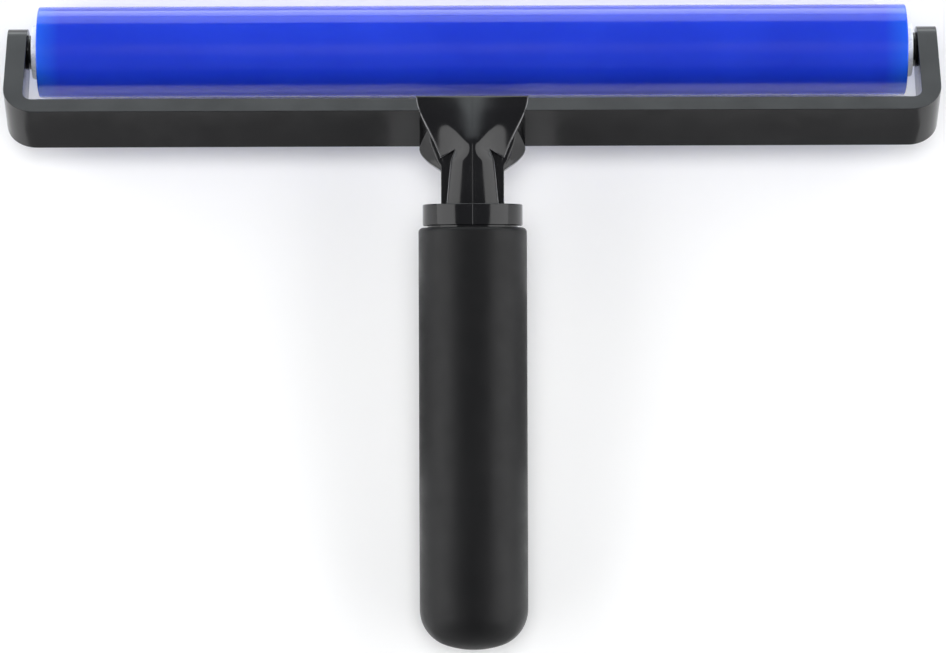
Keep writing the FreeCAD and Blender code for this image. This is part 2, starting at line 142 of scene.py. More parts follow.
class Shader:
    """A node material with one Principled shader and short calls for its inputs."""

    def __init__(self, name):
        self.material = bpy.data.materials.new(name)
        self.material.use_nodes = True
        self.nodes = self.material.node_tree.nodes
        self.links = self.material.node_tree.links
        self.bsdf = self.nodes["Principled BSDF"]
        self.place = self.nodes.new("ShaderNodeTexCoord").outputs["Object"]

    def set(self, **values):
        """Values for the shader's own inputs, by name with _ for a space."""
        for key, value in values.items():
            self.bsdf.inputs[key.replace("_", " ")].default_value = value

    def link(self, source, socket):
        self.links.new(source, socket)

    def noise(self, scale, detail=4.0, rough=0.55, stretch=None):
        """Noise over the object's own place; scale is in features per metre."""
        place = self.place
        if stretch:
            mapping = self.nodes.new("ShaderNodeMapping")
            mapping.inputs["Scale"].default_value = stretch
            self.link(place, mapping.inputs["Vector"])
            place = mapping.outputs["Vector"]
        node = self.nodes.new("ShaderNodeTexNoise")
        node.inputs["Scale"].default_value = scale
        node.inputs["Detail"].default_value = detail
        node.inputs["Roughness"].default_value = rough
        self.link(place, node.inputs["Vector"])
        return node.outputs["Fac"]

    def remap(self, source, low, high, start=0.35, end=0.65):
        """The source's range from start to end stretched to low to high, and held beyond."""
        node = self.nodes.new("ShaderNodeMapRange")
        node.inputs["From Min"].default_value = start
        node.inputs["From Max"].default_value = end
        node.inputs["To Min"].default_value = low
        node.inputs["To Max"].default_value = high
        self.link(source, node.inputs["Value"])
        return node.outputs["Result"]

    def ramp(self, source, stops):
        """Colour between two (place, colour) stops along the source."""
        node = self.nodes.new("ShaderNodeValToRGB")
        for element, (place, colour) in zip(node.color_ramp.elements, stops):
            element.position = place
            element.color = (*colour, 1.0)
        self.link(source, node.inputs["Fac"])
        return node.outputs["Color"]

    def mix(self, factor, first, second):
        """Colour from the first to the second by a factor; each is a colour or a node's output."""
        node = self.nodes.new("ShaderNodeMix")
        node.data_type = "RGBA"
        self.link(factor, node.inputs["Factor"])
        for value, number in ((first, MIX_FIRST), (second, MIX_SECOND)):
            if isinstance(value, tuple):
                node.inputs[number].default_value = (*value, 1.0)
            else:
                self.link(value, node.inputs[number])
        return node.outputs[MIX_RESULT]

    def across(self, start, end):
        """0 inside `start` on either side of the middle, 1 beyond `end`."""
        split = self.nodes.new("ShaderNodeSeparateXYZ")
        self.link(self.place, split.inputs["Vector"])
        size = self.nodes.new("ShaderNodeMath")
        size.operation = "ABSOLUTE"
        self.link(split.outputs["X"], size.inputs[0])
        return self.remap(size.outputs["Value"], 0.0, 1.0, start, end)

    def edges(self, low=0.53, high=0.64):
        """1 on convex edges, 0 on flat and hollow places."""
        geometry = self.nodes.new("ShaderNodeNewGeometry")
        return self.remap(geometry.outputs["Pointiness"], 0.0, 1.0, low, high)

    def carried(self, name):
        """A value from 0 to 1 that the mesh carries at its vertices."""
        node = self.nodes.new("ShaderNodeAttribute")
        node.attribute_name = name
        return node.outputs["Fac"]

    def bumps(self, *layers):
        """Bump from layers of (height, strength, distance in metres), finest first."""
        normal = None
        for height, strength, distance in layers:
            node = self.nodes.new("ShaderNodeBump")
            node.inputs["Strength"].default_value = strength
            node.inputs["Distance"].default_value = distance
            self.link(height, node.inputs["Height"])
            if normal:
                self.link(normal, node.inputs["Normal"])
            normal = node.outputs["Normal"]
        self.link(normal, self.bsdf.inputs["Normal"])

    def colour(self, source):
        self.link(source, self.bsdf.inputs["Base Color"])

    def roughness(self, source):
        self.link(source, self.bsdf.inputs["Roughness"])


def black_gloss(name="black_gloss", painted_rim=None):
    """Polished injection-moulded plastic: faint flow marks, handling smudges, and painted highlights on its edges.

    The argument names a value carried by the mesh that says where a rim is painted pale as a highlight; without
    it, convex edges are painted pale as a highlight.
    """
    s = Shader(name)
    s.set(IOR=1.50)
    tones = [(0.3, (0.0048, 0.0048, 0.0056)), (0.7, (0.0072, 0.0070, 0.0078))]
    tone = s.ramp(s.noise(45), tones)
    # Painted highlight: a pale colour on the marked rim, or else on convex edges, stands in for the bright
    # reflections along the edges
    if painted_rim:
        s.colour(s.mix(s.carried(painted_rim), tone, (0.30, 0.30, 0.31)))
    else:
        s.colour(s.mix(s.edges(), tone, (0.10, 0.10, 0.105)))
    s.roughness(s.remap(s.noise(70, 6.0, 0.65), 0.10, 0.20))
    fine = s.noise(2600, 2.0)
    flow = s.noise(110, 3.0, 0.5, (0.25, 1.0, 1.0))
    s.bumps((fine, 0.05, 0.02 * MM), (flow, 0.12, 0.06 * MM))
    return s.material


def soft_grip():
    """Matte soft-touch rubber with a fine moulded grain."""
    s = Shader("grip_soft")
    s.set(IOR=1.45, Specular_IOR_Level=0.32, Sheen_Weight=0.03, Sheen_Roughness=0.5)
    tones = [(0.3, (0.0046, 0.0046, 0.0051)), (0.7, (0.0074, 0.0073, 0.0078))]
    # Painted highlight: convex edges get a paler colour
    s.colour(s.mix(s.edges(), s.ramp(s.noise(60, 5.0), tones), (0.016, 0.016, 0.017)))
    s.roughness(s.remap(s.noise(130, 6.0, 0.6), 0.38, 0.50))
    s.bumps((s.noise(5200, 3.0), 0.35, 0.03 * MM), (s.noise(900, 2.0), 0.10, 0.04 * MM))
    return s.material


def blue_silicone():
    """Glossy cast silicone: deep saturated blue, light scattered just under the skin."""
    s = Shader("silicone_blue")
    s.set(
        IOR=1.42,
        Subsurface_Weight=0.35,
        Subsurface_Radius=(0.10, 0.25, 1.0),
        Subsurface_Scale=0.004,
        Coat_Weight=0.25,
        Coat_Roughness=0.06,
    )
    body = s.ramp(s.noise(26, 4.0), [(0.3, (0.010, 0.036, 0.54)), (0.7, (0.014, 0.048, 0.62))])
    # Painted light: a lighter, more cyan blue over the last 8 mm of each end stands in for light glowing through
    # the ends
    s.colour(s.mix(s.across(ROLLER_HALF - 8 * MM, ROLLER_HALF), body, (0.015, 0.110, 0.72)))
    s.roughness(s.remap(s.noise(60, 5.0, 0.6, (0.3, 1.0, 1.0)), 0.10, 0.19))
    waves = s.noise(60, 2.0, 0.5, (0.15, 1.0, 1.0))
    s.bumps((s.noise(1500, 3.0), 0.05, 0.03 * MM), (waves, 0.10, 0.1 * MM))
    return s.material


def white_nylon():
    """Natural nylon: milky, slightly see-through."""
    s = Shader("plug_white")
    s.set(
        IOR=1.53,
        Subsurface_Weight=0.6,
        Subsurface_Radius=(1.0, 1.0, 1.0),
        Subsurface_Scale=0.003,
        Transmission_Weight=0.08,
    )
    s.colour(s.ramp(s.noise(120), [(0.3, (0.86, 0.89, 0.92)), (0.7, (0.92, 0.94, 0.95))]))
    s.roughness(s.remap(s.noise(300, 4.0), 0.22, 0.36))
    s.bumps((s.noise(2400, 3.0), 0.08, 0.03 * MM))
    return s.material


def plain_plastic(name, dark, light, rough):
    s = Shader(name)
    s.colour(s.ramp(s.noise(150), [(0.3, dark), (0.7, light)]))
    s.roughness(s.remap(s.noise(320, 5.0), rough, rough + 0.15))
    s.bumps((s.noise(3000, 3.0), 0.15, 0.03 * MM))
    return s.material


def steel(name, rough):
    """Turned or ground steel with fine lines round the axle."""
    s = Shader(name)
    s.set(Metallic=1.0)
    lines = s.noise(900, 3.0, 0.6, (6.0, 0.4, 0.4))
    s.colour(s.ramp(lines, [(0.3, (0.48, 0.48, 0.50)), (0.7, (0.66, 0.66, 0.68))]))
    s.roughness(s.remap(lines, rough, rough + 0.12))
    s.bumps((lines, 0.15, 0.02 * MM))
    return s.material


# Name of the mesh value that says where the saddle's rim is painted pale as a highlight
PAINTED_RIM_NAME = "painted_rim"
MATERIALS = {
    "black_gloss": black_gloss(),
    "black_gloss_painted_highlight": black_gloss("black_gloss_painted_highlight", painted_rim=PAINTED_RIM_NAME),
    "grip_soft": soft_grip(),
    "silicone_blue": blue_silicone(),
    "plug_white": white_nylon(),
    "core_grey": plain_plastic("core_grey", (0.36, 0.37, 0.39), (0.47, 0.48, 0.50), 0.45),
    "washer_white": plain_plastic("washer_white", (0.70, 0.70, 0.67), (0.80, 0.80, 0.78), 0.35),
    "cage_nylon": plain_plastic("cage_nylon", (0.52, 0.44, 0.28), (0.64, 0.57, 0.40), 0.40),
    "steel": steel("steel", 0.22),
    "ball_steel": steel("ball_steel", 0.08),
}


# ---------------------------------------------------------------- mesh tools

ON_AXIS = 1e-7
WELD = 1e-6
WOBBLES_PER_METRE = 40


def add_object(name, data):
    thing = bpy.data.objects.new(name, data)
    bpy.context.scene.collection.objects.link(thing)
    return thing


def add_piece(name, mesh, slot, body, nodes, look=None):
    """A piece that stands for CAD nodes, in the material of its slot or another look of it."""
    piece = add_object(name, mesh)
    mesh.materials.append(MATERIALS[look or slot])
    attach(piece, body)
    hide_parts(*nodes)


def finished(work, name, sharp=math.radians(40)):
    """A mesh from a bmesh: outward normals, smooth apart from edges sharper than the limit."""
    bmesh.ops.recalc_face_normals(work, faces=work.faces)
    for face in work.faces:
        face.smooth = True
    for edge in work.edges:
        edge.smooth = len(edge.link_faces) != 2 or edge.calc_face_angle() < sharp
    mesh = bpy.data.meshes.new(name)
    work.to_mesh(mesh)
    work.free()
    return mesh


def modified(mesh, name, *steps):
    """The mesh with modifiers applied: steps are (type, settings)."""
    helper = add_object(name + "_work", mesh)
    for kind, settings in steps:
        modifier = helper.modifiers.new(kind.lower(), kind)
        for key, value in settings.items():
            setattr(modifier, key, value)
    graph = bpy.context.evaluated_depsgraph_get()
    result = bpy.data.meshes.new_from_object(helper.evaluated_get(graph))
    result.name = name
    bpy.data.objects.remove(helper)
    return result


def arc(centre, radius, start, end, steps):
    """Points on an arc in a profile plane, angles in degrees."""
    points = []
    for step in range(steps + 1):
        angle = math.radians(start + (end - start) * step / steps)
        points.append((centre[0] + radius * math.cos(angle), centre[1] + radius * math.sin(angle)))
    return points


def turned_ring(work, centre, along, radius, segments, wobble):
    """Vertices round the axis, or a single one where the outline meets it."""
    if radius < ON_AXIS:
        return [work.verts.new(centre)]
    side = along.orthogonal().normalized()
    other = along.cross(side)
    ring = []
    for number in range(segments):
        angle = 2 * math.pi * number / segments
        spoke = side * math.cos(angle) + other * math.sin(angle)
        place = centre + spoke * radius
        if wobble:
            place += spoke * wobble * noise.noise(place * WOBBLES_PER_METRE)
        ring.append(work.verts.new(place))
    return ring


def join_rings(work, first, second, segments):
    """Faces between two rings, either of which may be a single vertex on the axis."""
    for number in range(segments):
        after = (number + 1) % segments
        if len(first) == 1:
            work.faces.new((first[0], second[number], second[after]))
        elif len(second) == 1:
            work.faces.new((first[number], second[0], first[after]))
        else:
            work.faces.new((first[number], second[number], second[after], first[after]))


def lathe(name, profile, start, along, segments, wobble=0.0):
    """A turned mesh: profile is a closed or axis-to-axis outline of (distance along, radius)."""
    work = bmesh.new()
    rings = []
    for distance, radius in profile:
        centre = start + along * distance
        rings.append(turned_ring(work, centre, along, radius, segments, wobble))
    pairs = list(zip(rings, rings[1:]))
    if len(rings[0]) > 1 and len(rings[-1]) > 1:
        pairs.append((rings[-1], rings[0]))
    for first, second in pairs:
        join_rings(work, first, second, segments)
    return finished(work, name)


def join_rows(work, rows):
    """Faces between neighbouring rows of vertices."""
    for upper, lower in zip(rows, rows[1:]):
        for number in range(len(upper) - 1):
            work.faces.new((upper[number], lower[number], lower[number + 1], upper[number + 1]))


def welded_copy(node):
    """An editable copy of a CAD node's mesh with its faces joined at their corners."""
    work = bmesh.new()
    work.from_mesh(frame["nodes"][node].data)
    bmesh.ops.remove_doubles(work, verts=work.verts, dist=WELD)
    return work


def cut_away(work, place, normal):
    """Removes what lies beyond a plane, on the side its normal points to, and closes the cut."""
    everything = work.verts[:] + work.edges[:] + work.faces[:]
    cut = bmesh.ops.bisect_plane(
        work, geom=everything, plane_co=place, plane_no=normal, clear_outer=True
    )
    rim = [part for part in cut["geom_cut"] if isinstance(part, bmesh.types.BMEdge)]
    bmesh.ops.holes_fill(work, edges=rim)


# ---------------------------------------------------------------- roller skin, yoke and collar


def make_sleeve():
    """Cast silicone tube with softly rounded rims and the slight unevenness of a soft skin."""
    edge = 0.45 * MM
    lip = 0.3 * MM
    steps = 80
    flat = 2 * (ROLLER_HALF - edge)
    profile = arc((-ROLLER_HALF + edge, ROLLER_RADIUS - edge), edge, 180, 90, 6)
    for step in range(1, steps):
        profile.append((-ROLLER_HALF + edge + flat * step / steps, ROLLER_RADIUS))
    profile += arc((ROLLER_HALF - edge, ROLLER_RADIUS - edge), edge, 90, 0, 6)
    profile += [(ROLLER_HALF, CORE_RADIUS + lip), (ROLLER_HALF - lip, CORE_RADIUS)]
    profile += [(-ROLLER_HALF + lip, CORE_RADIUS), (-ROLLER_HALF, CORE_RADIUS + lip)]
    mesh = lathe("silicone_sleeve_skin", profile, AXLE, X, segments=192, wobble=0.03 * MM)
    add_piece("silicone_sleeve_skin", mesh, "silicone_blue", "roller", ["silicone_sleeve"])


# Steps round an arm's tip, from TIP_START degrees, and round the corners. The section has extra
# points SECTION_MARGIN beside its corners, at most SECTION_SHARE of a side away from them.
TIP_START = 4
TIP_STEPS = 8
CORNER_STEPS = 14
SECTION_MARGIN = 1.4 * MM
SECTION_SHARE = 0.3


def yoke_stations():
    """(outer point, inner point) pairs along the U, each as (x, reach), from tip to tip."""
    reaches = []
    for step in range(TIP_STEPS + 1):
        angle = math.radians(TIP_START + (90 - TIP_START) * step / TIP_STEPS)
        reaches.append(AXLE_REACH + TIP_RADIUS * math.cos(angle))
    reaches += [28.0 * MM, 22.0 * MM, 17.0 * MM, OUTER_CORNER + 1.5 * MM]
    stations = [((YOKE_HALF, reach), (ARM_INNER, reach)) for reach in reaches]
    outer_centre = (YOKE_HALF - OUTER_CORNER, OUTER_CORNER)
    inner_centre = (ARM_INNER - INNER_CORNER, BAR_THICK + INNER_CORNER)
    outer = arc(outer_centre, OUTER_CORNER, 0, -90, CORNER_STEPS)
    inner = arc(inner_centre, INNER_CORNER, 0, -90, CORNER_STEPS)
    stations += list(zip(outer, inner))
    straight = YOKE_HALF - OUTER_CORNER - 2 * MM
    for share in (0.85, 0.6, 0.35, 0.15):
        stations.append(((straight * share, 0.0), (straight * share, BAR_THICK)))
    mirrored = [((-ox, oy), (-ix, iy)) for (ox, oy), (ix, iy) in reversed(stations)]
    return stations + mirrored


def yoke_depths(reach):
    """Front and back of the yoke at a distance from the bar's outer side."""
    if reach > AXLE_REACH:
        lift = math.sqrt(TIP_RADIUS**2 - (reach - AXLE_REACH) ** 2)
        return -TIP_RADIUS + lift, -TIP_RADIUS - lift
    part = max(reach - BAR_THICK, 0.0) / (AXLE_REACH - BAR_THICK)
    return 0.0, -BAR_DEPTH + (BAR_DEPTH - 2 * TIP_RADIUS) * part


def section_loop(outer, inner):
    """Points round the yoke's section, with extra ones beside its corners and between them."""
    corners = []
    for (x, reach), which in ((outer, 0), (inner, 0), (inner, 1), (outer, 1)):
        corners.append(yoke(x, reach, yoke_depths(reach)[which]))
    loop = []
    for number, corner in enumerate(corners):
        side = corners[(number + 1) % len(corners)] - corner
        margin = min(SECTION_MARGIN / side.length, SECTION_SHARE)
        for part in (0.0, margin, 0.5, 1 - margin):
            loop.append(corner + side * part)
    return loop


def make_yoke():
    """Moulded U frame: one swept skin with rounded edges."""
    work = bmesh.new()
    loops = []
    for outer, inner in yoke_stations():
        loops.append([work.verts.new(place) for place in section_loop(outer, inner)])
    count = len(loops[0])
    for first, second in zip(loops, loops[1:]):
        for number in range(count):
            after = (number + 1) % count
            work.faces.new((first[number], first[after], second[after], second[number]))
    work.faces.new(loops[0])
    work.faces.new(loops[-1])
    mesh = finished(work, "yoke_skin")
    bevel = {"width": 0.55 * MM, "segments": 3, "limit_method": "ANGLE", "angle_limit": 0.7}
    weighted = {"keep_sharp": True}
    mesh = modified(mesh, "yoke_skin", ("BEVEL", bevel), ("WEIGHTED_NORMAL", weighted))
    for polygon in mesh.polygons:
        polygon.use_smooth = True
    add_piece("yoke_skin", mesh, "black_gloss", "frame", ["yoke"])


def make_bosses():
    """Round boss inside each arm, entering the end plug's pocket."""
    edge = 0.35 * MM
    bore = 3.0 * MM
    fillet = 0.7 * MM
    length = ARM_INNER - BOSS_FACE
    inside_arm = length + 0.2 * MM
    profile = [(0.0, bore), (0.0, BOSS_RADIUS - edge)]
    profile += arc((edge, BOSS_RADIUS - edge), edge, 180, 90, 4)[1:]
    profile += arc((length - fillet, BOSS_RADIUS + fillet), fillet, -90, 0, 5)
    profile += [(inside_arm, BOSS_RADIUS + fillet), (inside_arm, bore)]
    for name, way in SIDES:
        start = AXLE + X * way * BOSS_FACE
        mesh = lathe("yoke_boss_" + name, profile, start, X * way, segments=64)
        add_piece("yoke_boss_" + name, mesh, "black_gloss", "frame", ["yoke"])


def make_collar():
    """Polished ring between the neck and the grip, with the neck of the groove below it."""
    edge = COLLAR_EDGE
    bore = 8.0 * MM
    groove = 15.4 * MM
    length = NECK_END - COLLAR_END
    inside_grip = NECK_END - GRIP_START + 0.4 * MM
    profile = [(0.0, bore)]
    profile += arc((edge, COLLAR_RADIUS - edge), edge, 180, 90, 5)
    profile += arc((length - edge, COLLAR_RADIUS - edge), edge, 90, 0, 5)
    profile += [(length, groove), (inside_grip, groove), (inside_grip, bore)]
    mesh = lathe("handle_collar", profile, tool(0, NECK_END, 0), -UP, segments=160)
    add_piece("handle_collar", mesh, "black_gloss", "frame", ["handle_core"])


# ---------------------------------------------------------------- saddle and neck

# The sheet is the polished front of saddle and neck: a fan over the bar, and below it a rib that
# runs down the neck to the collar. The capital names of this section are in mm, and its tables hold
# rows of (height along the handle, value).
FAN_TOP = 5.2
FAN_FOOT = -16.4
RIB_TOP = -13.4
RIB_FOOT = NECK_END / MM - 0.4
RIB_SHARE = 0.53

# Half widths of fan and rib
FAN_EDGE = [(5.2, 19.3), (2.5, 18.9), (0.0, 18.2), (-3.0, 16.9), (-6.0, 15.4), (-11.0, 13.0),
            (-16.4, 10.8)]
RIB_EDGE = [(-13.4, 5.9), (-15.0, 6.5), (-17.0, 7.3), (-22.0, 7.9), (-27.0, 8.35), (-32.5, 8.9)]

# The fan's front: a sloping plate whose wings fall away from the middle, and a bell-shaped ridge
PLATE_START = 1.4
PLATE_SLOPE = 0.77
PLATE_BLEND = 0.9
WING_FALL = [(5.2, 0.0), (2.6, 0.6), (0.0, 1.25), (-3.0, 2.4), (-6.0, 3.8), (-10.0, 5.4),
             (-17.0, 5.8)]
WING_SOFT = 0.25
WING_FULL = math.sqrt(1 + WING_SOFT * WING_SOFT) - WING_SOFT
BELL_FOOT = 0.2
BELL_HALF = 6.8
BELL_POWER = 2.0

# The rib's front: a rounding of its own radius, level beyond ROUND_LIMIT of it. It takes over
# between the heights BELL_TO_RIB, but beyond FAN_SIDES only below FAN_ENDS.
NECK_RADIUS = 10.8
NECK_ROUND = [(-12.0, 8.6), (-17.0, 9.4), (-31.0, 12.4)]
ROUND_LIMIT = 0.97
BELL_TO_RIB = (-12.5, -18.0)
FAN_SIDES = (6.8, 8.4)
FAN_ENDS = (-15.2, -16.8)

# Rounded rim, and the height over which it starts along the rib
RIM_ROUND = 0.55
RIM_STEPS = 5
RIB_RIM_START = 1.0

# The sheet's sides lean outward where they are further out than DRAFT_FROM, by DRAFT_LOW above the
# first of the heights and by DRAFT_HIGH below the second
DRAFT_FROM = 9.5
DRAFT_LOW = 0.06
DRAFT_HIGH = 0.10
DRAFT_HEIGHTS = (0.0, -12.0)
SHEET_FOOT = -0.6
SKIRT_LEAST = 1.5

# Painted highlight, a pale rim: full where the rim has dropped by the full drop, fading at the fan's top and by
# the neck fade between two heights
PAINT_FULL_DROP = 0.26
PAINT_TOP_FADE = 1.0
PAINT_NECK_FADE = 0.7
PAINT_NECK_HEIGHTS = (-4.0, -13.0)

# Steps down and across the sheet, and about how long each stretch is
FAN_ROWS, FAN_HEIGHT = 44, 20.0
RIB_ROWS = 44
RIB_COLUMNS, RIB_WIDTH = 14, 6.5
WING_COLUMNS, WING_WIDTH = 10, 7.0


def eased(first, second, start, end, part):
    """Cubic from the first value to the second that leaves and arrives with the given slopes."""
    rise = second - first
    bend = 3 * rise - 2 * start - end + part * (start + end - 2 * rise)
    return first + part * (start + part * bend)


def along_table(table, height):
    """Value of a (height, value) table, heights falling, with smooth bends at its rows."""
    last = len(table) - 1
    height = min(max(height, table[-1][0]), table[0][0])
    row = 0
    while row < last - 1 and table[row + 1][0] > height:
        row += 1
    (high, first), (low, second) = table[row], table[row + 1]
    before = table[max(row - 1, 0)]
    after = table[min(row + 2, last)]
    span = low - high
    start = (second - before[1]) / (low - before[0]) * span
    end = (after[1] - first) / (after[0] - high) * span
    return eased(first, second, start, end, (height - high) / span)


def along_points(points, share):
    """Point at a share of the way along a chain of points, with smooth bends at its corners."""
    place = share * (len(points) - 1)
    index = min(int(place), len(points) - 2)
    low, high = points[index], points[index + 1]
    before = points[max(index - 1, 0)]
    after = points[min(index + 2, len(points) - 1)]
    result = []
    for axis in (0, 1):
        start = (high[axis] - before[axis]) / 2
        end = (after[axis] - low[axis]) / 2
        result.append(eased(low[axis], high[axis], start, end, place - index))
    return result


def smooth_step(start, end, value):
    """0 before the start, 1 after the end, eased between; the start may be above the end."""
    part = min(max((value - start) / (end - start), 0.0), 1.0)
    return part * part * (3 - 2 * part)


def front_height(x, up):
    """Height of the front of saddle and neck, x across and up along the handle, in mm.

    A plate parallel to the bar's front, its wings falling away from the middle, meets a bell-shaped
    ridge that runs down into the neck's round rib.
    """
    side = abs(x)
    part = min(side / along_table(FAN_EDGE, up), 1.0)
    wing = (math.sqrt(part * part + WING_SOFT * WING_SOFT) - WING_SOFT) / WING_FULL
    plate = PLATE_START - PLATE_SLOPE * up - along_table(WING_FALL, up) * wing
    bell = BELL_FOOT + (NECK_RADIUS - BELL_FOOT) / (1 + (side / BELL_HALF) ** BELL_POWER)
    gap = bell - plate
    sheet = (bell + plate - math.sqrt(gap * gap + PLATE_BLEND * PLATE_BLEND)) / 2
    radius = along_table(NECK_ROUND, up)
    bent = min(side, ROUND_LIMIT * radius)
    rib = NECK_RADIUS - radius + math.sqrt(radius * radius - bent * bent)
    outside = smooth_step(*FAN_SIDES, side) * (1 - smooth_step(*FAN_ENDS, up))
    share = smooth_step(*BELL_TO_RIB, up) * (1 - outside)
    return sheet + (rib - sheet) * share


def edge_drop(distance):
    """Rounding of the sheet's rim at a distance from its outline."""
    if distance >= RIM_ROUND:
        return 0.0
    inward = RIM_ROUND - max(distance, 0.0)
    return RIM_ROUND - math.sqrt(RIM_ROUND * RIM_ROUND - inward * inward)


def near_ends(count, ends, total):
    """Even steps from 0 to 1, with extra ones by the ends that carry a rounded rim.

    `total` is about how long the stretch is in mm.
    """
    steps = {number / count for number in range(count + 1)}
    for turn in range(1, RIM_STEPS + 1):
        inset = RIM_ROUND * (1 - math.cos(math.radians(90 * turn / RIM_STEPS))) / total
        if "start" in ends:
            steps.add(inset)
        if "end" in ends:
            steps.add(1 - inset)
    return sorted(steps)


def sheet_columns():
    """Signed places across the sheet, and how many of them lie beyond the rib on each side.

    1 is the outline, RIB_SHARE the side of the rib.
    """
    right = [RIB_SHARE * step for step in near_ends(RIB_COLUMNS, ("end",), RIB_WIDTH)]
    wing_steps = near_ends(WING_COLUMNS, ("start", "end"), WING_WIDTH)[1:]
    right += [RIB_SHARE + (1 - RIB_SHARE) * step for step in wing_steps]
    return [-place for place in reversed(right[1:])] + right, len(wing_steps)


def fan_point(place, down):
    """Point of the fan, in mm: place across, down from 0 at the top to 1 at the pockets."""
    side = abs(place)
    edge_up = FAN_TOP + (FAN_FOOT - FAN_TOP) * down
    rib_up = FAN_TOP + (RIB_TOP - FAN_TOP) * down
    edge_x = along_table(FAN_EDGE, edge_up)
    rib_x = RIB_SHARE * along_table(FAN_EDGE, FAN_TOP) * (1 - down)
    rib_x += along_table(RIB_EDGE, RIB_TOP) * down
    if side <= RIB_SHARE:
        x, up = rib_x * side / RIB_SHARE, rib_up
    else:
        part = (side - RIB_SHARE) / (1 - RIB_SHARE)
        x, up = rib_x + (edge_x - rib_x) * part, rib_up + (edge_up - rib_up) * part
    drop = edge_drop(along_table(FAN_EDGE, up) - x)
    drop = max(drop, edge_drop(FAN_TOP - up))
    if side > RIB_SHARE:
        drop = max(drop, edge_drop((1 - down) * (FAN_TOP - up)))
    return math.copysign(x, place), up, front_height(x, up) - drop


def rib_point(place, down):
    """Point of the rib, in mm: place across, down from 0 at the pockets to 1 inside the collar."""
    up = RIB_TOP + (RIB_FOOT - RIB_TOP) * down
    half = along_table(RIB_EDGE, up)
    x = half * abs(place) / RIB_SHARE
    drop = edge_drop(half - x) * smooth_step(RIB_TOP, RIB_TOP - RIB_RIM_START, up)
    return math.copysign(x, place), up, front_height(x, up) - drop


def fan_rows(work, columns):
    rows = []
    for down in near_ends(FAN_ROWS, ("start", "end"), FAN_HEIGHT):
        rows.append([work.verts.new(tool_mm(*fan_point(place, down))) for place in columns])
    return rows


def rib_rows(work, columns, top):
    """Rows of the rib, the first of which is the middle of the fan's last row."""
    rows = [top]
    for step in range(1, RIB_ROWS + 1):
        points = [rib_point(place, step / RIB_ROWS) for place in columns]
        rows.append([work.verts.new(tool_mm(*point)) for point in points])
    return rows


def sheet_outline(fan, rib, wing):
    """Vertices round the sheet: down its left side, up its right side, back along the top."""
    outline = [row[0] for row in fan] + fan[-1][1:wing]
    outline += [row[0] for row in rib] + rib[-1][1:-1] + [row[-1] for row in reversed(rib)]
    outline += fan[-1][-wing:] + [row[-1] for row in reversed(fan)][1:]
    return outline + fan[0][-2:0:-1]


def painted_rim_share(place):
    """How strongly a point of the sheet is painted pale as a highlight: fully where its rim has dropped by the
    full drop.
    """
    x, up, out = in_tool_mm(place)
    share = smooth_step(FAN_TOP, FAN_TOP - PAINT_TOP_FADE, up)
    share *= 1 - PAINT_NECK_FADE * smooth_step(*PAINT_NECK_HEIGHTS, up)
    return share * smooth_step(0.0, PAINT_FULL_DROP, front_height(x, up) - out)


def add_skirt(work, outline):
    """Drafted sides below the sheet's outline, and the bottom that closes them."""
    skirt = []
    for vert in outline:
        x, up, out = in_tool_mm(vert.co)
        foot = min(SHEET_FOOT, out - SKIRT_LEAST)
        draft = DRAFT_LOW + (DRAFT_HIGH - DRAFT_LOW) * smooth_step(*DRAFT_HEIGHTS, up)
        lean = draft * (out - foot) if abs(x) > DRAFT_FROM else 0.0
        skirt.append(work.verts.new(tool_mm(math.copysign(abs(x) + lean, x), up, foot)))
    for number in range(len(outline)):
        after = (number + 1) % len(outline)
        work.faces.new((outline[number], outline[after], skirt[after], skirt[number]))
    ring = set(skirt)
    edges = [edge for edge in work.edges if edge.verts[0] in ring and edge.verts[1] in ring]
    bmesh.ops.triangle_fill(work, use_beauty=False, edges=edges)


def make_saddle_front():
    """Polished front of the fan and of the neck's rib, with a rounded rim and drafted sides."""
    work = bmesh.new()
    # Share of the rim's painted highlight, carried by each vertex for the material
    painted_rim = work.verts.layers.float.new(PAINTED_RIM_NAME)
    columns, wing = sheet_columns()
    fan = fan_rows(work, columns)
    rib = rib_rows(work, columns[wing:-wing], fan[-1][wing:-wing])
    join_rows(work, fan)
    join_rows(work, rib)
    for vert in work.verts:
        vert[painted_rim] = painted_rim_share(vert.co)
    add_skirt(work, sheet_outline(fan, rib, wing))
    mesh = finished(work, "handle_saddle_front", sharp=math.radians(35))
    # Black gloss with its rim painted pale as a highlight
    look = "black_gloss_painted_highlight"
    add_piece("handle_saddle_front", mesh, "black_gloss", "frame", ["handle_core"], look)


def make_saddle_body():
    """The saddle and neck behind their polished front, edges softened as if moulded."""
    into_collar = 0.6 * MM
    into_sheet = 0.3 * MM
    over_bar = 0.02 * MM
    work = welded_copy("handle_core")
    cut_away(work, tool(0, NECK_END - into_collar, 0), -UP)
    cut_away(work, tool(0, 0, into_sheet), OUT)
    cut_away(work, yoke(0, 0, over_bar), FACE)
    mesh = finished(work, "handle_saddle_body")
    voxels = {"mode": "VOXEL", "voxel_size": 0.25 * MM, "use_smooth_shade": True}
    soften = {"factor": 0.5, "iterations": 14}
    mesh = modified(mesh, "handle_saddle_body", ("REMESH", voxels), ("SMOOTH", soften))
    add_piece("handle_saddle_body", mesh, "black_gloss", "frame", ["handle_core"])


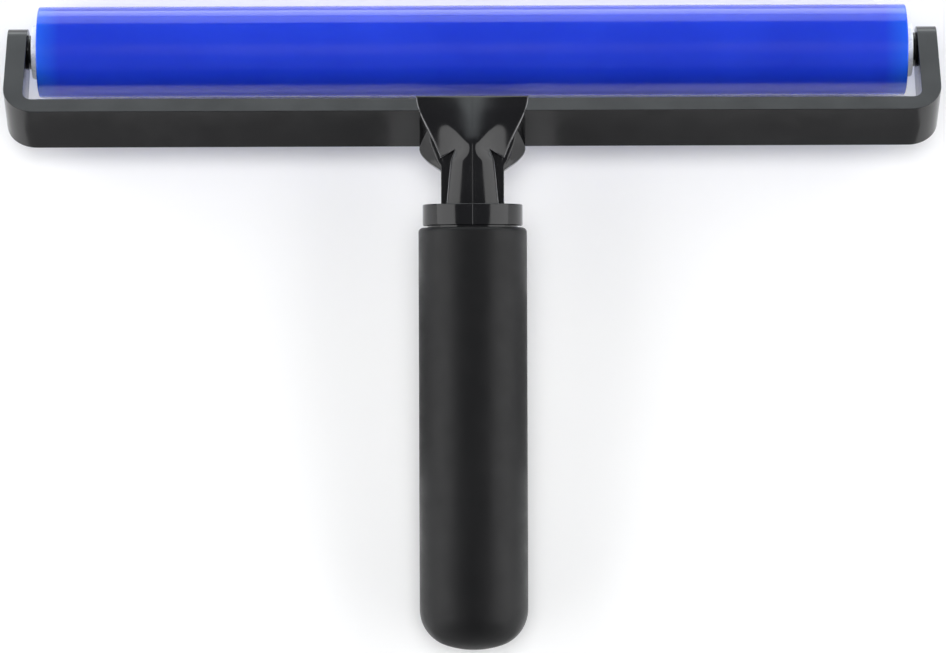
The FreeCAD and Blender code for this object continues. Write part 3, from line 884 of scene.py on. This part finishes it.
# Webs beside the fan: (x, height) chains along the fan's side and along their own outer rim. Beside
# the fan their front runs from EAR_TOP down to 0, all of it sunk by EAR_SUNK, and it falls by
# EAR_FALL for each mm away from the fan. Their outer side ends EAR_BEHIND past the plane of the
# bar's outer side, but no deeper than EAR_DEEP.
EAR_INNER = [(14.6, -6.3), (12.6, -10.1), (11.2, -14.0), (10.2, -16.4), (10.1, -20.2)]
EAR_OUTER = [(15.3, -6.2), (17.0, -9.6), (18.0, -12.0), (18.15, -13.2), (17.6, -14.7),
             (16.4, -16.2), (14.9, -17.6), (13.1, -18.9), (10.9, -20.4)]
EAR_ROWS, EAR_COLUMNS = 32, 8
EAR_TOP = 1.9
EAR_SUNK = 0.3
EAR_FALL = 0.95
EAR_LEAST = 1.0
EAR_DEEP = -17.0
EAR_BEHIND = 0.4


def ear_row(work, share, way):
    """Vertices across a web at a share of the way down it, and the foot of its outer side."""
    near = along_points(EAR_INNER, share)
    far = along_points(EAR_OUTER, share)
    reach = math.hypot(far[0] - near[0], far[1] - near[1])
    row = []
    for part in near_ends(EAR_COLUMNS, ("end",), max(reach, EAR_LEAST)):
        x = near[0] + (far[0] - near[0]) * part
        up = near[1] + (far[1] - near[1]) * part
        out = EAR_TOP * (1 - share) - EAR_SUNK - EAR_FALL * reach * part
        out -= edge_drop(reach * (1 - part))
        row.append(work.verts.new(tool_mm(way * x, up, out)))
    deep = max(far[1] / math.tan(YOKE_TILT) - EAR_BEHIND, EAR_DEEP)
    row.append(work.verts.new(tool_mm(way * far[0], far[1], deep)))
    return row


def make_ears():
    """Webs between the fan's sides and the bar, rounded at their outer rim."""
    for name, way in SIDES:
        work = bmesh.new()
        join_rows(work, [ear_row(work, step / EAR_ROWS, way) for step in range(EAR_ROWS + 1)])
        mesh = finished(work, "handle_ear_" + name)
        add_piece("handle_ear_" + name, mesh, "black_gloss", "frame", ["handle_core"])


# Mould seam: (share of its half width, height above the surface) pairs across it. SEAM_BENT is how
# far the middle of the collar's rounded edge lies inside its corner.
SEAM_HALF = 0.16
SEAM_ACROSS = ((-1.0, -0.03), (-0.5, 0.03), (0.0, 0.055), (0.5, 0.03), (1.0, -0.03))
SEAM_STEPS = 59
SEAM_INSET = 0.5
SEAM_BENT = 0.13


def seam_path():
    """(height, out) points in mm: down the sheet's middle, then over the collar's two edges."""
    start, top, foot = FAN_TOP - SEAM_INSET, NECK_END / MM, COLLAR_END / MM
    path = []
    for step in range(SEAM_STEPS + 1):
        up = start + (top - start) * step / SEAM_STEPS
        path.append((up, front_height(0.0, up)))
    radius, edge = COLLAR_RADIUS / MM, COLLAR_EDGE / MM
    path += [(top, radius - edge), (top - SEAM_BENT, radius - SEAM_BENT), (top - edge, radius)]
    return path + [(foot + edge, radius), (foot + SEAM_BENT, radius - SEAM_BENT)]


def make_seam():
    """Fine line where the mould closed, down the front of the fan, the neck and the collar."""
    work = bmesh.new()
    rows = []
    for up, out in seam_path():
        points = [(side * SEAM_HALF, up, out + lift) for side, lift in SEAM_ACROSS]
        rows.append([work.verts.new(tool_mm(*point)) for point in points])
    join_rows(work, rows)
    mesh = finished(work, "mould_seam")
    add_piece("mould_seam", mesh, "black_gloss", "frame", ["handle_core"])


# ---------------------------------------------------------------- tang, grip, plugs and caps


def make_tang():
    """Ribbed tang inside the grip."""
    into_grip = 0.5 * MM
    work = welded_copy("handle_core")
    cut_away(work, tool(0, GRIP_START - into_grip, 0), UP)
    mesh = finished(work, "handle_tang", sharp=math.radians(25))
    add_piece("handle_tang", mesh, "black_gloss", "frame", ["handle_core"])


def grip_outside():
    """Outline of the grip's outside: rounded top, straight wall, corner and shallow dome."""
    top = 1.6 * MM
    corner = 13.0 * MM
    dome = 30.0 * MM
    steps = 40
    length = GRIP_START - GRIP_END
    inset = GRIP_RADIUS - corner
    drop = math.sqrt((dome - corner) ** 2 - inset**2)
    corner_at = length - dome + drop
    bend = math.degrees(math.atan2(drop, inset))
    straight = corner_at - top
    profile = arc((top, GRIP_RADIUS - top), top, 180, 90, 6)
    for step in range(1, steps):
        profile.append((top + straight * step / steps, GRIP_RADIUS))
    for across, along in arc((0, 0), corner, 0, bend, 14):
        profile.append((corner_at + along, inset + across))
    for across, along in arc((0, 0), dome, bend, 90, 8)[1:]:
        profile.append((length - dome + along, across))
    profile[-1] = (length, 0.0)
    return profile


def make_grip():
    """Soft sleeve with a blind bore for the tang."""
    bore = 15.0 * MM
    depth = 136.0 * MM
    profile = [(depth, 0.0), (depth, bore), (0.0, bore)] + grip_outside()
    start = tool(0, GRIP_START, 0)
    mesh = lathe("grip_skin", profile, start, -UP, segments=160, wobble=0.02 * MM)
    add_piece("grip_skin", mesh, "grip_soft", "frame", ["grip"])


def make_plugs():
    """Moulded nylon end plugs: rounded flange, bearing pocket, barrel in the core."""
    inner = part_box("end_plug_right")[0][0]
    outer = node_half("end_plug_right")
    flange = node_radius("end_plug_right")
    pocket_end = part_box("bearing_outer_right")[0][0]
    pocket = 7.5 * MM
    barrel = 8.5 * MM
    bore = 5.6 * MM
    edge = 0.45 * MM
    back_edge = 0.25 * MM
    lip = 0.3 * MM
    profile = [(inner, bore), (inner, barrel - edge), (inner + edge, barrel)]
    profile += [(ROLLER_HALF, barrel), (ROLLER_HALF, flange - 0.1 * MM)]
    profile += arc((ROLLER_HALF + back_edge, flange - back_edge), back_edge, 180, 90, 3)[1:]
    profile += arc((outer - edge, flange - edge), edge, 90, 0, 5)
    profile += arc((outer - lip, pocket + lip), lip, 0, -90, 4)
    profile += [(pocket_end, pocket), (pocket_end, bore)]
    for name, way in SIDES:
        mesh = lathe("end_plug_skin_" + name, profile, AXLE, X * way, segments=96)
        add_piece("end_plug_skin_" + name, mesh, "plug_white", "roller", ["end_plug_" + name])


def make_caps():
    """Press-in caps over the axle screws, each with a shallow dimple in its middle."""
    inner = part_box("screw_cap_right")[0][0]
    thick = node_half("screw_cap_right") - inner
    full = node_radius("screw_cap_right")
    radius = full - 0.05 * MM
    edge = 0.25 * MM
    dimple = 0.12 * MM
    profile = [(0.0, 0.0), (0.0, radius)]
    profile += arc((thick - edge, radius - edge), edge, 90, 0, 4)
    profile += [(thick, full * 0.45), (thick - dimple, full * 0.40), (thick - dimple, 0.0)]
    for name, way in SIDES:
        start = AXLE + X * way * inner
        mesh = lathe("cap_skin_" + name, profile, start, X * way, segments=64)
        add_piece("cap_skin_" + name, mesh, "black_gloss", "frame", ["screw_cap_" + name])


def dress_kept_nodes():
    """Procedural materials on the CAD nodes that keep their own shape."""
    slots = {part["node"]: part["material_slot"] for part in RECORD["subparts"]}
    for name, node in frame["nodes"].items():
        for material_slot in node.material_slots:
            material_slot.material = MATERIALS[slots[name]]


# ---------------------------------------------------------------- set

COOL = (0.90, 0.97, 1.0)
# Cards: near and far side, back and front, in metres from the middle of the object
CARD_BESIDE = (0.030, 0.19, 0.014, -0.050)
CARD_PAST_END = (-0.055, 0.055, -0.116, -0.30)


def make_floor():
    """Pale floor that reaches well past the view."""
    half_width = 6.0
    work = bmesh.new()
    bmesh.ops.create_grid(work, x_segments=8, y_segments=8, size=half_width)
    mesh = finished(work, "floor")
    floor = add_object("floor", mesh)
    s = Shader("floor_paper")
    s.colour(s.ramp(s.noise(3.0), [(0.3, (0.93, 0.93, 0.93)), (0.7, (0.96, 0.96, 0.96))]))
    s.roughness(s.remap(s.noise(40), 0.75, 0.9))
    mesh.materials.append(s.material)


def make_flags():
    """Grey cards on the floor beside the handle and past its end, seen only in reflections."""
    above_floor = 1.5 * MM
    work = bmesh.new()
    for way, (near, far, back, front) in ((1, CARD_BESIDE), (-1, CARD_BESIDE), (1, CARD_PAST_END)):
        corners = ((near, back), (far, back), (far, front), (near, front))
        work.faces.new([work.verts.new((way * x, y, above_floor)) for x, y in corners])
    mesh = finished(work, "flags")
    flags = add_object("flags", mesh)
    s = Shader("flag_cloth")
    s.colour(s.ramp(s.noise(8.0), [(0.3, (0.31, 0.31, 0.31)), (0.7, (0.36, 0.36, 0.36))]))
    s.roughness(s.remap(s.noise(60), 0.8, 0.95))
    mesh.materials.append(s.material)
    flags.visible_camera = False
    flags.visible_diffuse = False
    flags.visible_shadow = False


def softbox(name, place, toward, size, radiance, tint=(1, 1, 1)):
    """A rectangular soft light of an even radiance that faces a point and isn't seen directly."""
    wide, tall = size
    data = bpy.data.lights.new(name, "AREA")
    data.shape = "RECTANGLE"
    data.size = wide
    data.size_y = tall
    data.energy = math.pi * radiance * wide * tall
    data.color = tint
    light = add_object(name, data)
    light.location = place
    light.rotation_mode = "QUATERNION"
    light.rotation_quaternion = (Vector(toward) - Vector(place)).to_track_quat("-Z", "Y")
    light.visible_camera = False
    return light


def make_lights():
    """Wide lights on both sides, one standing and one lying behind, a weak one over the floor."""
    for name, x in (("side_left", -1.0), ("side_right", 1.0)):
        softbox(name, (x, 0.0, 0.57), (0, 0, 0.45), size=(2.0, 1.1), radiance=2.0)
    softbox("back", (0, 1.1, 0.225), (0, 0, 0.14), size=(1.1, 0.41), radiance=1.9, tint=COOL)
    flat = (1.2, 0.42)
    softbox("back_low", (0, 0.36, 0.003), (0, 0.36, 1), size=flat, radiance=2.4, tint=COOL)
    fill = softbox("floor_fill", (0, -0.03, 0.8), (0, -0.03, 0), size=(1.0, 0.48), radiance=0.55)
    fill.data.spread = math.radians(40)
    fill.visible_glossy = False


def make_world():
    """Weak even light from all around."""
    world = bpy.data.worlds.new("studio")
    bpy.context.scene.world = world
    world.use_nodes = True
    background = world.node_tree.nodes["Background"]
    background.inputs["Color"].default_value = (0.92, 0.95, 1.0, 1.0)
    background.inputs["Strength"].default_value = 0.17


def make_camera():
    """The camera looks straight down on the front of the handle."""
    distance = 1.55
    seen_width = 0.3226
    aim = -0.0737
    roll = math.radians(-0.2)
    data = bpy.data.cameras.new("camera")
    data.sensor_width = 36.0
    data.lens = data.sensor_width / (seen_width / distance)
    data.clip_start = 0.05
    data.clip_end = 50.0
    camera = add_object("camera", data)
    camera.location = tool(0.0, aim, distance)
    side = X * math.cos(roll) + UP * math.sin(roll)
    up = OUT.cross(side)
    camera.rotation_mode = "QUATERNION"
    camera.rotation_quaternion = Matrix((side, up, OUT)).transposed().to_quaternion()
    bpy.context.scene.camera = camera


make_camera()
make_world()
make_lights()
make_floor()
make_flags()
dress_kept_nodes()
make_sleeve()
make_yoke()
make_bosses()
make_collar()
make_saddle_front()
make_saddle_body()
make_ears()
make_seam()
make_tang()
make_grip()
make_plugs()
make_caps()
bpy.context.scene.view_settings.view_transform = "Standard"
